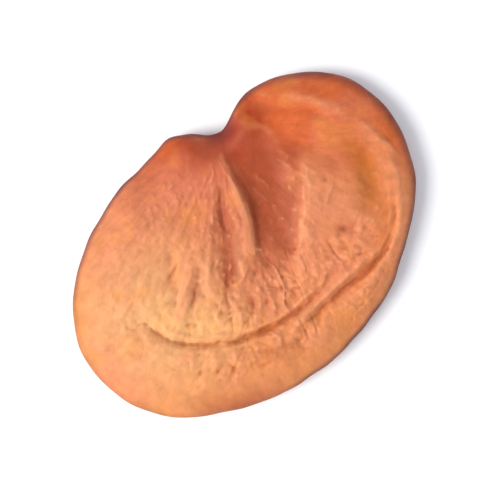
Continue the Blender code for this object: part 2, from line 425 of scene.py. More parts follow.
FINE_UPPER_FOLDS = (
    Fold("crest edge", 0.1, 0.14, 0.3, ((3.3, 7.4), (3.2, 5.6), (3.0, 4.4), (2.5, 2.9), (1.8, 1.7),
         (0.9, 0.3), (-0.3, -1.0)), 1.2, 0.4),
    Fold("crest foot", -0.08, 0.3, 0.2, ((3.8, 5.6), (3.6, 3.9), (3.0, 2.5), (2.2, 1.2), (1.3, 0.0),
         (0.3, -1.2)), 1.3, 0.5),
    Fold("left light line", 0.08, 0.16, 0.2, ((3.2, 7.6), (2.5, 6.5), (1.5, 5.6), (0.5, 4.7)), 1.3),
    Fold("left dark line", -0.1, 0.24, 0.3, ((2.9, 6.4), (2.0, 5.3), (1.0, 3.9), (0.1, 2.6),
         (-0.7, 1.3)), 1.3, 0.4),
    Fold("low band", -0.12, 0.5, 0.6, ((-0.4, 2.0), (-1.6, 0.4), (-2.9, -0.7), (-4.7, -2.2)),
         stain_and_painted_light=RED, tint=0.45),
    Fold("curved stroke", -0.09, 0.13, 0.16, ((-4.3, 2.5), (-3.1, 2.6), (-2.4, 2.5), (-1.4, 2.9)),
         1.3),
    Fold("first streak", -0.1, 0.18, 0.22, ((-4.2, 3.6), (-5.6, 2.9), (-6.8, 2.3), (-8.2, 1.8)),
         1.3),
    Fold("second streak", -0.12, 0.18, 0.22, ((-3.4, 1.9), (-5.3, 0.7), (-6.8, -0.2), (-8.6, -1.6)),
         1.3),
    Fold("streak ridge", 0.09, 0.25, 0.25, ((-4.3, 2.0), (-5.7, 1.4), (-7.2, 0.7)), 1.5),
    Fold("groove slit", -0.17, 0.11, 0.11, ((-9.6, 3.2), (-10.0, 2.0), (-9.9, 0.3), (-8.8, -2.1),
         (-6.1, -4.3), (-3.4, -5.7), (-1.1, -6.35), (0.8, -6.5), (2.6, -6.4), (4.2, -6.2)), 1.2,
         0.3),
    Fold("second slit", -0.18, 0.11, 0.11, ((-2.2, -7.1), (-0.6, -7.45), (1.0, -7.7), (3.1, -7.7),
         (5.1, -8.2), (7.1, -8.15), (8.9, -7.7), (10.6, -6.5), (11.9, -5.2)), 1.2, 0.3),
    Fold("groove fill", 0.15, 0.45, 0.45, ((-9.9, 0.8), (-8.9, -2.0), (-6.2, -4.25),
         (-3.2, -5.75))),
    Fold("heel glow", 0.0, 1.5, 1.5, ((-7.0, 3.0), (-8.2, 0.6), (-7.4, -2.0), (-5.4, -3.8),
         (-3.0, -4.8)), stain_and_painted_light=STRAW, tint=0.8),
    # Raised lips by the grooves, tinted pale: painted highlight on their lit walls.
    Fold("inner lip", 0.15, 0.2, 0.2, ((-9.45, 0.4), (-8.4, -1.8), (-5.9, -3.9), (-3.2, -5.25),
         (-1.0, -5.9), (0.8, -6.05), (2.6, -5.95)), 1.8, 0.4, stain_and_painted_light=PALE, tint=0.5),
    Fold("outer lip", 0.13, 0.2, 0.2, ((-10.35, 0.0), (-9.2, -2.4), (-6.35, -4.7), (-3.6, -6.15),
         (-1.6, -6.75)), 1.8, 0.4, stain_and_painted_light=PALE, tint=0.5),
    Fold("second inner lip", 0.12, 0.2, 0.2, ((6.0, -7.7), (8.6, -7.25), (10.3, -6.1),
         (11.6, -4.7)), 1.8, 0.4, stain_and_painted_light=PALE, tint=0.5),
    Fold("between lip", 0.18, 0.26, 0.26, ((-2.0, -6.6), (0.4, -7.05), (2.4, -7.05), (4.8, -7.2),
         (6.6, -7.0)), 1.8, 0.5, stain_and_painted_light=PALE, tint=0.9),
    # A raised ridge whose pale tint is painted light, on the rim's side that the lamp leaves
    # darker.
    Fold("rim ridge", 0.14, 0.3, 0.35, ((2.0, -8.4), (4.9, -8.8), (8.3, -8.1), (11.3, -6.0),
         (13.1, -3.9), (13.9, -0.7), (13.4, 2.2)), 1.6, 0.3, stain_and_painted_light=PALE, tint=0.7),
    Fold("head band", 0.12, 0.5, 0.8, ((13.8, 0.6), (13.3, 2.6), (12.2, 5.1), (9.9, 8.0),
         (8.2, 9.2)), 1.8, 0.5),
    Fold("head groove", -0.06, 0.5, 0.6, ((12.4, 2.2), (11.6, 4.2), (9.6, 6.6), (7.9, 7.6))),
    Fold("light band", 0.05, 0.5, 0.6, ((13.4, 1.4), (13.3, -0.8), (12.4, -3.6), (10.6, -6.0)),
         stain_and_painted_light=PALE),
    Fold("rim dimple", -0.1, 0.7, 0.9, ((0.8, -9.2), (2.4, -9.6), (4.0, -9.3))),
    Fold("second rim dimple", -0.09, 0.6, 0.8, ((6.2, -9.3), (7.8, -9.0))),
    Fold("rim bulge", 0.1, 0.8, 0.8, ((-2.6, -8.6), (-0.6, -9.2), (0.4, -9.6)), stain_and_painted_light=PALE),
    Fold("blotch", -0.04, 0.45, 0.45, ((6.0, -3.9), (6.8, -4.3), (7.4, -4.9)), stain_and_painted_light=RED),
    Fold("rim glow", 0.0, 1.3, 1.2, ((14.4, 0.8), (12.7, -3.8), (9.8, -6.8), (6.0, -8.6),
         (2.6, -9.2)), stain_and_painted_light=AMBER),
    Fold("valley foot blush", 0.0, 1.7, 1.7, ((0.2, -0.6), (-1.4, -2.4), (-2.6, -4.0),
         (-4.0, -5.2)), stain_and_painted_light=RED, tint=0.3),
    Fold("low margin blush", 0.0, 0.9, 0.9, ((-11.8, -5.4), (-10.2, -7.4), (-8.0, -9.2),
         (-5.0, -10.4)), stain_and_painted_light=RED, tint=0.45),
    Fold("foot blush", -0.02, 0.7, 0.7, ((-12.6, -5.2), (-11.4, -7.3), (-9.2, -8.9), (-7.0, -9.4)),
         stain_and_painted_light=RED, tint=0.4),
    # A dip at the top of the valley; its red is painted shade under the head.
    Fold("saddle", -0.13, 0.8, 0.8, ((6.6, 7.6), (7.2, 6.0), (7.9, 4.2), (9.0, 1.8)), stain_and_painted_light=RED,
         tint=0.7),
    # Painted shade: red along the top of the valley, under the head's brow.
    Fold("brow shade", -0.05, 0.95, 0.85, ((5.0, 5.4), (6.3, 4.0), (7.4, 2.8), (8.5, 1.6),
         (9.5, 0.1), (10.2, -1.0)), 2.0, 0.4, stain_and_painted_light=RED, tint=0.85),
    Fold("valley side", 0.0, 0.8, 0.9, ((8.0, 2.4), (6.5, 1.2), (5.0, 0.0), (3.3, -1.2),
         (1.2, -2.6)), stain_and_painted_light=RED, tint=0.4),
    Fold("field shade", 0.0, 1.8, 1.8, ((8.7, 3.0), (9.0, 0.6), (9.3, -1.8), (9.9, -3.8),
         (10.9, -5.4)), stain_and_painted_light=OLIVE, tint=0.3),
    Fold("low shade", 0.0, 0.9, 0.9, ((-7.6, -4.8), (-5.9, -6.2), (-4.2, -7.3), (-2.2, -8.3),
         (-0.2, -9.0)), stain_and_painted_light=RED, tint=0.32),
    Fold("head arc", 0.05, 0.4, 0.45, ((10.4, 7.4), (11.7, 5.6), (12.8, 3.6), (13.5, 1.4)),
         stain_and_painted_light=PALE, tint=0.7),
    Fold("head fleck", 0.09, 0.2, 0.24, ((13.6, -0.8), (14.0, -2.0), (13.9, -3.6)), stain_and_painted_light=PALE,
         tint=0.9),
    # Painted shade: red over the flank beside the notch, on the side away from the light.
    Fold("flank painted shade", 0.0, 1.8, 1.8, ((2.8, 10.4), (0.4, 10.4), (-2.2, 10.3), (-5.8, 9.4)),
         stain_and_painted_light=RED, tint=0.35),
    Fold("notch blush", 0.0, 1.5, 1.5, ((1.6, 9.0), (3.4, 7.8), (5.0, 6.4)), stain_and_painted_light=RED, tint=0.8),
    Fold("rim line", -0.07, 0.16, 0.16, ((3.4, -9.6), (7.2, -9.0), (10.6, -7.4), (12.6, -5.2),
         (13.9, -3.2), (14.5, -0.8), (14.0, 2.2)), 1.3, 0.3),
    Fold("ridge line", 0.12, 0.2, 0.3, ((8.0, 2.2), (7.0, 0.6), (5.6, -0.8), (4.2, -2.0),
         (2.7, -2.9), (0.9, -3.8)), 1.4, 0.4),
    Fold("spur", 0.11, 0.18, 0.22, ((8.3, 1.9), (7.0, -0.2), (6.7, -2.0)), 1.3),
    Fold("second spur", 0.09, 0.16, 0.2, ((9.3, -0.4), (8.0, -1.3), (6.7, -2.0)), 1.3),
    Fold("low spur", 0.1, 0.22, 0.26, ((9.0, -4.0), (8.0, -4.9), (6.9, -5.7), (5.4, -6.0)), 1.4),
    Fold("heel lip", -0.08, 0.25, 0.3, ((-12.1, 2.2), (-12.5, 0.8), (-12.4, -0.6)), 1.5),
    Fold("tick", -0.08, 0.12, 0.12, ((-8.3, -2.7), (-9.1, -3.8)), 1.3),
    Fold("second tick", -0.08, 0.12, 0.12, ((-7.8, -4.5), (-9.0, -5.6)), 1.3),
    Fold("cheek roll", 0.12, 1.1, 0.9, ((8.6, 6.8), (9.8, 5.2), (10.9, 3.2), (11.8, 0.6))),
    Fold("cheek hollow", -0.08, 0.5, 0.5, ((7.6, 7.2), (10.0, 6.3), (11.6, 4.2), (12.6, 1.6))),
    Fold("lip crease", -0.08, 0.18, 0.18, ((2.4, 10.0), (1.6, 8.7), (0.2, 7.4)), 1.3),
)
UNDER_GROOVE_ROUTE: Route = ((-10.4, -3.0), (-6.4, -5.9), (-0.8, -6.9), (4.6, -6.9), (9.4, -5.2))
LOWER_FOLDS = (
    Fold("crest", 0.24, 1.3, 0.7, ((4.9, 6.8), (4.0, 3.0), (4.4, -0.6), (5.6, -4.2)), 1.7),
    Fold("valley", -0.34, 1.0, 1.5, ((6.3, 6.4), (6.2, 2.8), (7.2, -1.0)), stain_and_painted_light=RED),
    Fold("heel valley", -0.26, 1.0, 1.2, ((2.0, 6.6), (-2.6, 4.6), (-7.4, 2.4)), stain_and_painted_light=RED),
    Fold("heel ridge", 0.16, 1.0, 1.0, ((-1.0, 7.6), (-5.4, 5.6), (-9.4, 2.2)), stain_and_painted_light=PALE),
    Fold("groove", -0.2, 0.55, 0.55, UNDER_GROOVE_ROUTE, 1.6),
)
FINE_LOWER_FOLDS = (
    Fold("groove slit", -0.12, 0.13, 0.13, UNDER_GROOVE_ROUTE, 1.2, 0.4),
    Fold("crest edge", 0.09, 0.2, 0.2, ((4.7, 6.6), (4.0, 3.0), (4.4, -0.4), (5.4, -3.6)), 1.3),
    Fold("streak", -0.09, 0.16, 0.16, ((-1.8, 5.4), (-4.8, 3.6), (-8.2, 2.6)), 1.3),
    Fold("second streak", -0.08, 0.15, 0.15, ((-2.4, 6.4), (-5.6, 5.0), (-8.8, 3.8)), 1.3),
    Fold("head streak", -0.08, 0.18, 0.18, ((8.4, 5.0), (9.8, 1.6), (10.2, -2.0)), 1.3),
)


@dataclass(frozen=True)
class Wrinkles:
    """Soft wrinkles that run away from the hilum: swaying waves over the angle about it.

    Each wave is its pitch, its phase and its share. They end over the rim_fade of the way to the
    margin, and set in over the hilum_fade of the distance from the hilum.
    """

    height: float = 0.075
    per_turn: float = 40.0
    waves: tuple[tuple[float, float, float], ...] = (
        (1.0, 0.0, 1.00), (1.37, 1.9, 0.60), (0.54, 4.1, 0.75),
    )
    sway: float = 0.10
    sway_length: float = 2.4
    sway_twist: float = 3.0
    fan_degrees: float = 48.0
    rim_fade: tuple[float, float] = (0.62, 0.90)
    hilum_fade: tuple[float, float] = (2.0, 6.0)

    def height_at(self, ground: Ground) -> Array:
        """A sum of sines of the fan's angle, over the inner field.

        Args:
            ground: the places.

        Returns:
            Heights in millimetres.
        """
        angle = ground.fan + FAN_MIDDLE
        sway = self.sway * np.sin(ground.away / self.sway_length + self.sway_twist * angle)
        wave = sum(
            share * np.sin(self.per_turn * pitch * (angle + sway) + phase)
            for pitch, phase, share in self.waves
        )
        field_share = 1.0 - smooth_step(*self.rim_fade, ground.outward)
        field_share = field_share * smooth_step(*self.hilum_fade, ground.away)
        field_share = field_share * bell(np.degrees(ground.fan) / self.fan_degrees)
        return self.height * field_share * wave / sum(share for _, _, share in self.waves)


class Weave(Enum):
    """What a layer of crinkles is made of."""

    PILLOWS = "pillows"
    CREASES = "creases"
    RIDGES = "ridges"


@dataclass(frozen=True)
class Crinkle:
    """A layer of crinkled skin, drawn out along the fan inside and along the margin on the rim.

    Pillows are a smooth step of the pillow gap, about its mean. Creases and ridges are
    e^-(n/thin)^2 of a noise n: thin wavering lines where n crosses 0. A second noise weakens both
    in patches, and sway moves them to and fro.
    """

    weave: Weave
    height: float
    width: float
    length: float
    seed: int
    sway: float = 0.45
    thin: float = 0.16
    patchy: float = 0.5
    fan_reach: float = FAN_REACH
    rim_reach: float = 13.5

    def layer(self, across: Array, along: Array) -> Array:
        """The layer over one pair of coordinates.

        Args:
            across, along: coordinates in millimetres, across and along the skin's drawing.

        Returns:
            Heights as shares of the full height.
        """
        # What is added to u and v only moves each noise, so that no two share a lattice line.
        u, v = across / self.width, along / self.length
        u = u + self.sway * lattice_noise(u * 0.7 + 31.0, v * 0.7 + 17.0, self.seed + 1)
        v = v + self.sway * lattice_noise(u * 0.7 + 53.0, v * 0.7 + 11.0, self.seed + 2)
        patches = lattice_noise(u * 0.55 + 7.0, v * 0.8 + 3.0, self.seed + 3)
        breaks = 1.0 - self.patchy + self.patchy * smooth_step(-0.35, 0.45, patches)
        if self.weave is Weave.PILLOWS:
            return breaks * (smooth_step(0.0, 0.6, pillow_gap(u + 60.0, v + 60.0, self.seed)) - 0.6)
        line = bell(lattice_noise(u + 60.0, v + 60.0, self.seed) / self.thin)
        return breaks * (line if self.weave is Weave.RIDGES else -line)

    def height_at(self, ground: Ground) -> Array:
        """The layer over a face.

        Args:
            ground: the places.

        Returns:
            Heights in millimetres.
        """
        inner = self.layer(ground.fan * self.fan_reach, ground.away)
        outer = self.layer(ground.outward * self.rim_reach, ground.turn * self.rim_reach)
        share = ground.rim()
        return self.height * (inner * (1 - share) + outer * share)


@dataclass(frozen=True)
class Puckers:
    """Short ridges and creases strewn over a face, roughly along the way that the coat is drawn.

    Each is a long narrow bell: e^-(u^2 + |v|^1.5), with u along it and v across it. Their places
    and sizes are seeded random draws, thinned out where the field gives them little room and over
    the rim_fade. They run along the margin where the rim's share is over rim_from, and else away
    from the hilum, give or take the stray (radians). A batch of them is worked out at a time.
    """

    count: int
    seed: int
    lengths: tuple[float, float]
    widths: tuple[float, float]
    heights: tuple[float, float]
    stray: float = 0.5
    rim_fade: tuple[float, float] = (0.90, 0.985)
    rim_from: float = 0.15
    batch: int = 40

    def height_at(self, ground: Ground) -> Array:
        """The puckers' height at places of the face.

        Args:
            ground: the places.

        Returns:
            Heights in millimetres.
        """
        draw = np.random.default_rng(self.seed)
        x, y = ground.x, ground.y
        room = ground.field() * (1.0 - smooth_step(*self.rim_fade, ground.outward)) + 1e-6
        chosen = draw.choice(len(x), size=self.count, p=room / room.sum())
        away = ground.fan[chosen] + FAN_MIDDLE
        round_seed = np.arctan2(x[chosen], -y[chosen])
        angle = np.where(ground.rim()[chosen] > self.rim_from, round_seed, away)
        angle = angle + draw.normal(0.0, self.stray, self.count)
        length = draw.uniform(*self.lengths, self.count)
        width = draw.uniform(*self.widths, self.count)
        height = draw.uniform(*self.heights, self.count) * np.sqrt(room[chosen])
        total = np.zeros_like(x)
        for start in range(0, self.count, self.batch):
            part = slice(start, start + self.batch)
            east = x[:, None] - x[chosen[part]]
            north = y[:, None] - y[chosen[part]]
            along = (east * np.cos(angle[part]) + north * np.sin(angle[part])) / length[part]
            across = (north * np.cos(angle[part]) - east * np.sin(angle[part])) / width[part]
            total += (height[part] * np.exp(-(along**2) - np.abs(across) ** 1.5)).sum(axis=1)
        return total


@dataclass(frozen=True)
class Hilum:
    """The lens-shaped scar in the notch, where the seed hung: a sunken slit inside a low ring."""

    half_length: float = 1.6
    half_width: float = 0.55
    slit_depth: float = 0.30
    slit_share: float = 0.75
    ring_height: float = 0.14
    ring_place: float = 1.25
    ring_share: float = 0.45
    shade_edge: tuple[float, float] = (0.75, 1.15)
    shade_from: float = 0.9

    def reach(self, outline: Outline, turn: Array, above: Array) -> Array:
        """How far out of the scar a place is: 0 in its middle and 1 on its edge.

        Args:
            outline: the margin that the scar lies in.
            turn: angles from +X, in radians.
            above: heights over the margin's line, in millimetres.

        Returns:
            The place's distance from the scar's middle, as a share of the scar's half sizes.
        """
        radius = math.hypot(*outline.hilum())
        along = np.radians(turn_from(np.degrees(turn), outline.notch_angle)) * radius
        return np.hypot(along / self.half_length, above / self.half_width)

    def push(self, reach: Array) -> Array:
        """How far the margin is pushed out there: the ring's bell less the slit's."""
        ring = self.ring_height * bell((reach - self.ring_place) / self.ring_share)
        return ring - self.slit_depth * bell(reach / self.slit_share)

    def shade(self, reach: Array, outward: Array) -> Array:
        """The share of the scar's own colour: 1 inside its edge, on the face's outermost part."""
        inside = 1.0 - smooth_step(*self.shade_edge, reach)
        return np.where(outward > self.shade_from, inside, 0.0)


@dataclass(frozen=True)
class PaintedMarginShade:
    """Painted shade round the margin, for the shaded side of its rounded wall: widest on the head,
    and weakest round the heel, on the side the light comes from.

    Angles are in degrees from +X, and start and head_wider are shares of the way to the margin.
    """

    start: float = 0.950
    head_wider: float = 0.030
    head_angle: float = 20.0
    head_spread: float = 35.0
    weakest: float = 0.35
    strongest_angle: float = 15.0
    fade: tuple[float, float] = (-0.95, -0.45)

    def strength(self, turn: Array, outward: Array) -> Array:
        """How strong the margin's painted shade is.

        Args:
            turn: angles from +X, in radians.
            outward: shares of the way to the margin.

        Returns:
            A smooth step from the line's inner edge to the margin, times weakest to 1 as the
            cosine of the angle from the strongest side goes over the fade.
        """
        side = smooth_step(*self.fade, np.cos(turn - math.radians(self.strongest_angle)))
        off_head = turn_from(np.degrees(turn), self.head_angle)
        inner_edge = self.start - self.head_wider * bell(off_head / self.head_spread)
        share = self.weakest + (1.0 - self.weakest) * side
        return share * smooth_step(inner_edge, 1.0, outward)


@dataclass(frozen=True)
class FaceShape:
    """The sizes of one broad face: its dome, its sunken field and its relief.

    The field is sunk by sink inside sink_inner, and not at all past sink_outer. The relief sets
    in between flat_inner and flat_outer, which leaves a flat spot in the middle to rest on. All
    four are shares of the way to the margin. Rim lumps are their height, how many there are to
    a radian round the seed and to the way out, and their seed.
    """

    side: Side
    swell: float
    fullness: float
    sink: float
    sink_inner: float
    sink_outer: float
    folds: tuple[Fold, ...]
    fine_folds: tuple[Fold, ...]
    pits: tuple[Spot, ...]
    crinkles: tuple[Crinkle, ...]
    puckers: tuple[Puckers, ...]
    wrinkles: Wrinkles | None = None
    flat_inner: float = 0.0
    flat_outer: float = 0.0
    waver_x: tuple[Bumps, ...] = (Bumps(0.12, 1.1, 3), Bumps(0.05, 0.45, 4))
    waver_y: tuple[Bumps, ...] = (Bumps(0.12, 1.1, 5), Bumps(0.05, 0.45, 6))
    uneven: Bumps = Bumps(0.35, 1.6, 9)
    lumps: tuple[Bumps, ...] = (Bumps(0.05, 2.9, 8), Bumps(0.035, 1.3, 7))
    rim_lumps: tuple[tuple[float, float, float, int], ...] = (
        (0.09, 4.2, 6.0, 14), (0.05, 9.0, 12.0, 15),
    )
    roughness: Bumps = Bumps(0.45, 2.6, 12)
    rough_spot: Spot = Spot(-2.2, -3.4, 3.2, 0.45)
    rim_spot: Spot = Spot(5.0, -9.2, 3.8, 0.6)
    rim_spot_fade: tuple[float, float] = (0.90, 0.97)

    def dome(self, outward: Array) -> Array:
        """The dome over the margin's line: swell times the root of 1 - outward^fullness."""
        return self.swell * np.sqrt(np.maximum(1.0 - outward**self.fullness, 0.0))

    def spacing(self, share: Array, radius: float = 13.5, samples: int = 4000) -> Array:
        """Outward for shares of the grid, so that its lines are evenly spaced over the curved face.

        Args:
            share: shares of the grid's way from its middle to its edge.
            radius: a typical half width of the seed, in millimetres.
            samples: how finely the dome's arc length is measured.

        Returns:
            The outward value where the dome's arc length has that share.
        """
        angle = np.linspace(0.0, np.pi / 2, samples)
        outward = np.sin(angle)
        arc = np.hypot(np.diff(outward) * radius, np.diff(self.dome(outward)))
        run = np.concatenate([[0.0], np.cumsum(arc)])
        return np.interp(share, run / run[-1], outward)

    def relief(self, ground: Ground) -> tuple[Array, Array]:
        """The face's relief over its dome.

        The fine folds are laid over places that the wavers move, so that their lines aren't
        smooth, and uneven makes them stronger and weaker along their way.

        Args:
            ground: the places.

        Returns:
            The main folds' height, and the fine relief's height, in millimetres.
        """
        x, y = ground.x, ground.y
        profiles = [(fold, fold.profile(x, y)) for fold in self.folds]
        main = sum(fold.height * profile for fold, profile in profiles)
        calm = np.prod([1.0 - fold.calm * profile for fold, profile in profiles], axis=0)
        if self.wrinkles:
            main = main + self.wrinkles.height_at(ground)
        moved_x = x + sum(bumps.over(ground) for bumps in self.waver_x)
        moved_y = y + sum(bumps.over(ground) for bumps in self.waver_y)
        fine = sum(fold.height * fold.profile(moved_x, moved_y) for fold in self.fine_folds)
        fine = fine * (1.0 + self.uneven.over(ground))
        fine = fine + sum(pit.over(ground) for pit in self.pits)
        skin = sum(crinkle.height_at(ground) for crinkle in self.crinkles) * self.rough(ground)
        skin = skin + sum(puckers.height_at(ground) for puckers in self.puckers)
        return main, fine + skin * calm + self.lumpy(ground)

    def rough(self, ground: Ground) -> Array:
        """How crinkled the skin is.

        Args:
            ground: the places.

        Returns:
            0.45 by the folds to 1 towards the grooves, more in the rough spot, and all of it in
            patches and over the field, plus the spot on the rim.
        """
        low = 0.45 + 0.55 * smooth_step(4.0, -4.0, 0.35 * ground.x + 0.9 * ground.y)
        low = (low + self.rough_spot.over(ground)) * (0.75 + self.roughness.over(ground))
        inside = 1.0 - smooth_step(*self.rim_spot_fade, ground.outward)
        return ground.field() * low + self.rim_spot.over(ground) * inside

    def lumpy(self, ground: Ground) -> Array:
        """Low lumps over the face, and others that follow the rim, clear of the head and the hilum.

        Args:
            ground: the places.

        Returns:
            Heights in millimetres.
        """
        lumps = sum(bumps.over(ground) for bumps in self.lumps) * (0.4 + 0.6 * ground.field())
        rim = sum(
            height * lattice_noise(ground.turn * per_radian, ground.outward * per_way, seed)
            for height, per_radian, per_way, seed in self.rim_lumps
        )
        rim = rim * ground.rim() * (1.0 - ground.head()) * smooth_step(*HILUM_EDGE, ground.away)
        return lumps + rim

    def stains_and_painted_light(self, ground: Ground) -> dict[str, Array]:
        """How much of each tint there is, real stain, painted shade and painted highlight alike:
        the profiles of the folds that carry it.

        Args:
            ground: the places.

        Returns:
            Values from 0 to 1, by the stains' attribute names.
        """
        found = {stain_and_painted_light.value: np.zeros_like(ground.x) for stain_and_painted_light in StainAndPaintedLight}
        for fold in self.folds + self.fine_folds:
            if fold.stain_and_painted_light:
                found[fold.stain_and_painted_light.value] += fold.tint * fold.profile(ground.x, ground.y)
        return {name: np.clip(values, 0.0, 1.0) for name, values in found.items()}


@dataclass
class SeedSurface:
    """The seed's whole surface, as one mesh that stands for the solid seed.

    Tops over press_from are pressed down with a tanh, and stay below press_from + press_room. The
    relief fades out as 1 - outward^margin_fade. Crease and hollow cells are how far away, on the
    grid, the places are that a place is compared with.
    """

    outline: Outline = Outline()
    hilum: Hilum = Hilum()
    # The margin's painted shade.
    margin: PaintedMarginShade = PaintedMarginShade()
    heel: Spot = Spot(-9.0, 0.8, 5.8)
    margin_height: float = 1.60
    head_thicker: float = 0.07
    margin_fade: float = 10.0
    press_from: float = 4.18
    press_room: float = 0.14
    grid: int = 220
    crease_cells: int = 2
    hollow_cells: int = 7
    upper: FaceShape = FaceShape(
        side=Side.UPPER,
        swell=2.55,
        fullness=4.6,
        sink=0.34,
        sink_inner=0.34,
        sink_outer=0.84,
        folds=UPPER_FOLDS,
        fine_folds=FINE_UPPER_FOLDS,
        wrinkles=Wrinkles(),
        pits=(
            Spot(6.6, -4.4, 0.42, -0.20),
            Spot(8.4, -0.5, 0.20, -0.14),
            Spot(-1.9, 5.6, 0.16, -0.08),
            Spot(-0.7, -2.6, 0.22, -0.10),
            Spot(-1.9, -4.1, 0.20, -0.10),
            Spot(-4.2, -4.1, 0.20, -0.08),
        ),
        crinkles=(
            Crinkle(Weave.PILLOWS, 0.15, 0.85, 1.30, 31),
            Crinkle(Weave.PILLOWS, 0.05, 0.42, 0.65, 41),
            Crinkle(Weave.CREASES, 0.12, 0.95, 2.4, 51),
            Crinkle(Weave.RIDGES, 0.11, 0.90, 1.8, 61),
        ),
        puckers=(
            Puckers(260, 11, (0.25, 0.8), (0.11, 0.19), (-0.085, 0.075), stray=0.6),
            Puckers(1300, 12, (0.14, 0.36), (0.11, 0.22), (-0.052, 0.080), stray=1.2),
        ),
    )
    lower: FaceShape = FaceShape(
        side=Side.LOWER,
        swell=1.63,
        fullness=2.6,
        sink=0.22,
        sink_inner=0.50,
        sink_outer=0.90,
        folds=LOWER_FOLDS,
        fine_folds=FINE_LOWER_FOLDS,
        pits=(),
        crinkles=(
            Crinkle(Weave.PILLOWS, 0.09, 0.85, 1.5, 131),
            Crinkle(Weave.PILLOWS, 0.04, 0.45, 0.7, 141),
            Crinkle(Weave.CREASES, 0.08, 1.0, 2.4, 151),
            Crinkle(Weave.RIDGES, 0.06, 0.9, 2.0, 161),
        ),
        puckers=(Puckers(300, 21, (0.2, 0.8), (0.10, 0.20), (-0.06, 0.05), stray=0.8),),
        flat_inner=0.26,
        flat_outer=0.46,
    )

    def disc(self) -> tuple[Array, Array]:
        """The square grid bent into a disc, so that its cells stay nearly equal.

        On each square ring the larger coordinate is the radius, and the ratio of the two, times
        45 degrees, is the angle from that coordinate's axis.

        Returns:
            The turn (radians) and the share of the radius (0 to 1) of each grid point.
        """
        line = np.linspace(-1.0, 1.0, self.grid + 1)
        a, b = (values.ravel() for values in np.meshgrid(line, line, indexing="ij"))
        wide = np.abs(a) > np.abs(b)
        longer = np.where(wide, a, b)
        safe = np.where(longer == 0.0, 1.0, longer)
        angle = np.where(wide, np.pi / 4 * b / safe, np.pi / 2 - np.pi / 4 * a / safe)
        return np.arctan2(longer * np.sin(angle), longer * np.cos(angle)), np.abs(longer)

    def face(self, face: FaceShape) -> dict[str, Array]:
        """One face's points and the values that its colours follow.

        Args:
            face: the face's sizes.

        Returns:
            Flat arrays by name: "place" (points in millimetres) and the vertex attributes.
        """
        turn, share = self.disc()
        outward = np.where(share >= 1.0, 1.0, face.spacing(share))
        ground = Ground.over(self.outline, turn, outward)
        x, y = ground.x, ground.y
        thickness = 1.0 + self.head_thicker * x / (self.outline.length / 2)
        main, fine = face.relief(ground)
        fade = 1.0 - outward**self.margin_fade
        field_share = 1.0 - smooth_step(face.sink_inner, face.sink_outer, outward)
        dome = face.dome(outward) * thickness
        if face.side is Side.UPPER:
            height = self.margin_height + dome - face.sink * field_share + (main + fine) * fade
            over = np.maximum(height - self.press_from, 0.0)
            height = height - over + self.press_room * np.tanh(over / self.press_room)
        else:
            off_flat = smooth_step(face.flat_inner, face.flat_outer, outward)
            main, fine = main * off_flat, fine * off_flat
            sunk = face.sink * off_flat * field_share
            height = np.maximum(self.margin_height - dome + sunk - (main + fine) * fade, 0.0)
        reach = self.hilum.reach(self.outline, turn, height - self.margin_height)
        push = self.hilum.push(reach) * outward**4
        place = np.stack([x + push * np.cos(turn), y + push * np.sin(turn), height], axis=1)
        return {
            "place": place,
            # These two drive the painted shade in creases and hollows, and the painted highlight on
            # raised tops.
            "crease": self.standing(main + fine, self.crease_cells),
            "hollow": self.standing(main + fine, self.hollow_cells),
            # The margin's painted shade: strongest on the side away from the light.
            "margin": self.margin.strength(turn, outward),
            "head": ground.head(),
            "heel": self.heel.over(ground),
            "fan_across": ground.fan * FAN_REACH,
            "hilum_away": ground.away,
            "scar": self.hilum.shade(reach, outward),
            **face.stains_and_painted_light(ground),
        }

    def standing(self, height: Array, cells: int) -> Array:
        """How far each place stands above the four places that many cells away from it.

        Args:
            height: heights over the grid.
            cells: how far the four places are.

        Returns:
            The height less the mean of the four, in millimetres.
        """
        square = height.reshape(self.grid + 1, self.grid + 1)
        wide = np.pad(square, cells, mode="edge")
        middle = slice(cells, -cells)
        around = wide[2 * cells :, middle] + wide[: -2 * cells, middle]
        around = around + wide[middle, 2 * cells :] + wide[middle, : -2 * cells]
        return (square - around / 4).ravel()

    def faces(self) -> tuple[Array, Array]:
        """The quads of both faces, which share the points of the margin.

        Returns:
            The quads as rows of four point numbers, and the lower face's own points: their
            numbers in its grid.
        """
        side = self.grid + 1
        number = np.arange(side * side).reshape(side, side)
        rim = np.zeros((side, side), dtype=bool)
        rim[[0, -1], :] = True
        rim[:, [0, -1]] = True
        own = np.flatnonzero(~rim.ravel())
        below = number.copy().ravel()
        below[own] = side * side + np.arange(len(own))
        below = below.reshape(side, side)
        quads = []
        for grid, order in ((number, (0, 1, 2, 3)), (below, (3, 2, 1, 0))):
            corners = (grid[:-1, :-1], grid[1:, :-1], grid[1:, 1:], grid[:-1, 1:])
            quads.append(np.stack([corners[i].ravel() for i in order], axis=1))
        return np.vstack(quads), own

    def build(self) -> bpy.types.Object:
        """Makes the seed's mesh, centred over the solid seed's box.

        Returns:
            The finished object, at the origin, with its colour values as vertex attributes.
        """
        above, under = self.face(self.upper), self.face(self.lower)
        quads, own = self.faces()
        values = {name: np.concatenate([above[name], under[name][own]]) for name in above}
        place = values.pop("place")
        low, high = (np.array(corner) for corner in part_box("seed"))
        middle = (place.min(axis=0) + place.max(axis=0)) / 2
        place[:, :2] += (low + high)[:2] / (2 * MM) - middle[:2]
        mesh = bpy.data.meshes.new("seed_coat")
        mesh.from_pydata((place * MM).tolist(), [], quads.tolist())
        mesh.polygons.foreach_set("use_smooth", np.ones(len(quads), dtype=bool))
        for name, numbers in values.items():
            attribute = mesh.attributes.new(name, "FLOAT", "POINT")
            attribute.data.foreach_set("value", numbers.astype(np.float32))
        mesh.update()
        piece = bpy.data.objects.new("seed_coat", mesh)
        bpy.context.scene.collection.objects.link(piece)
        return piece


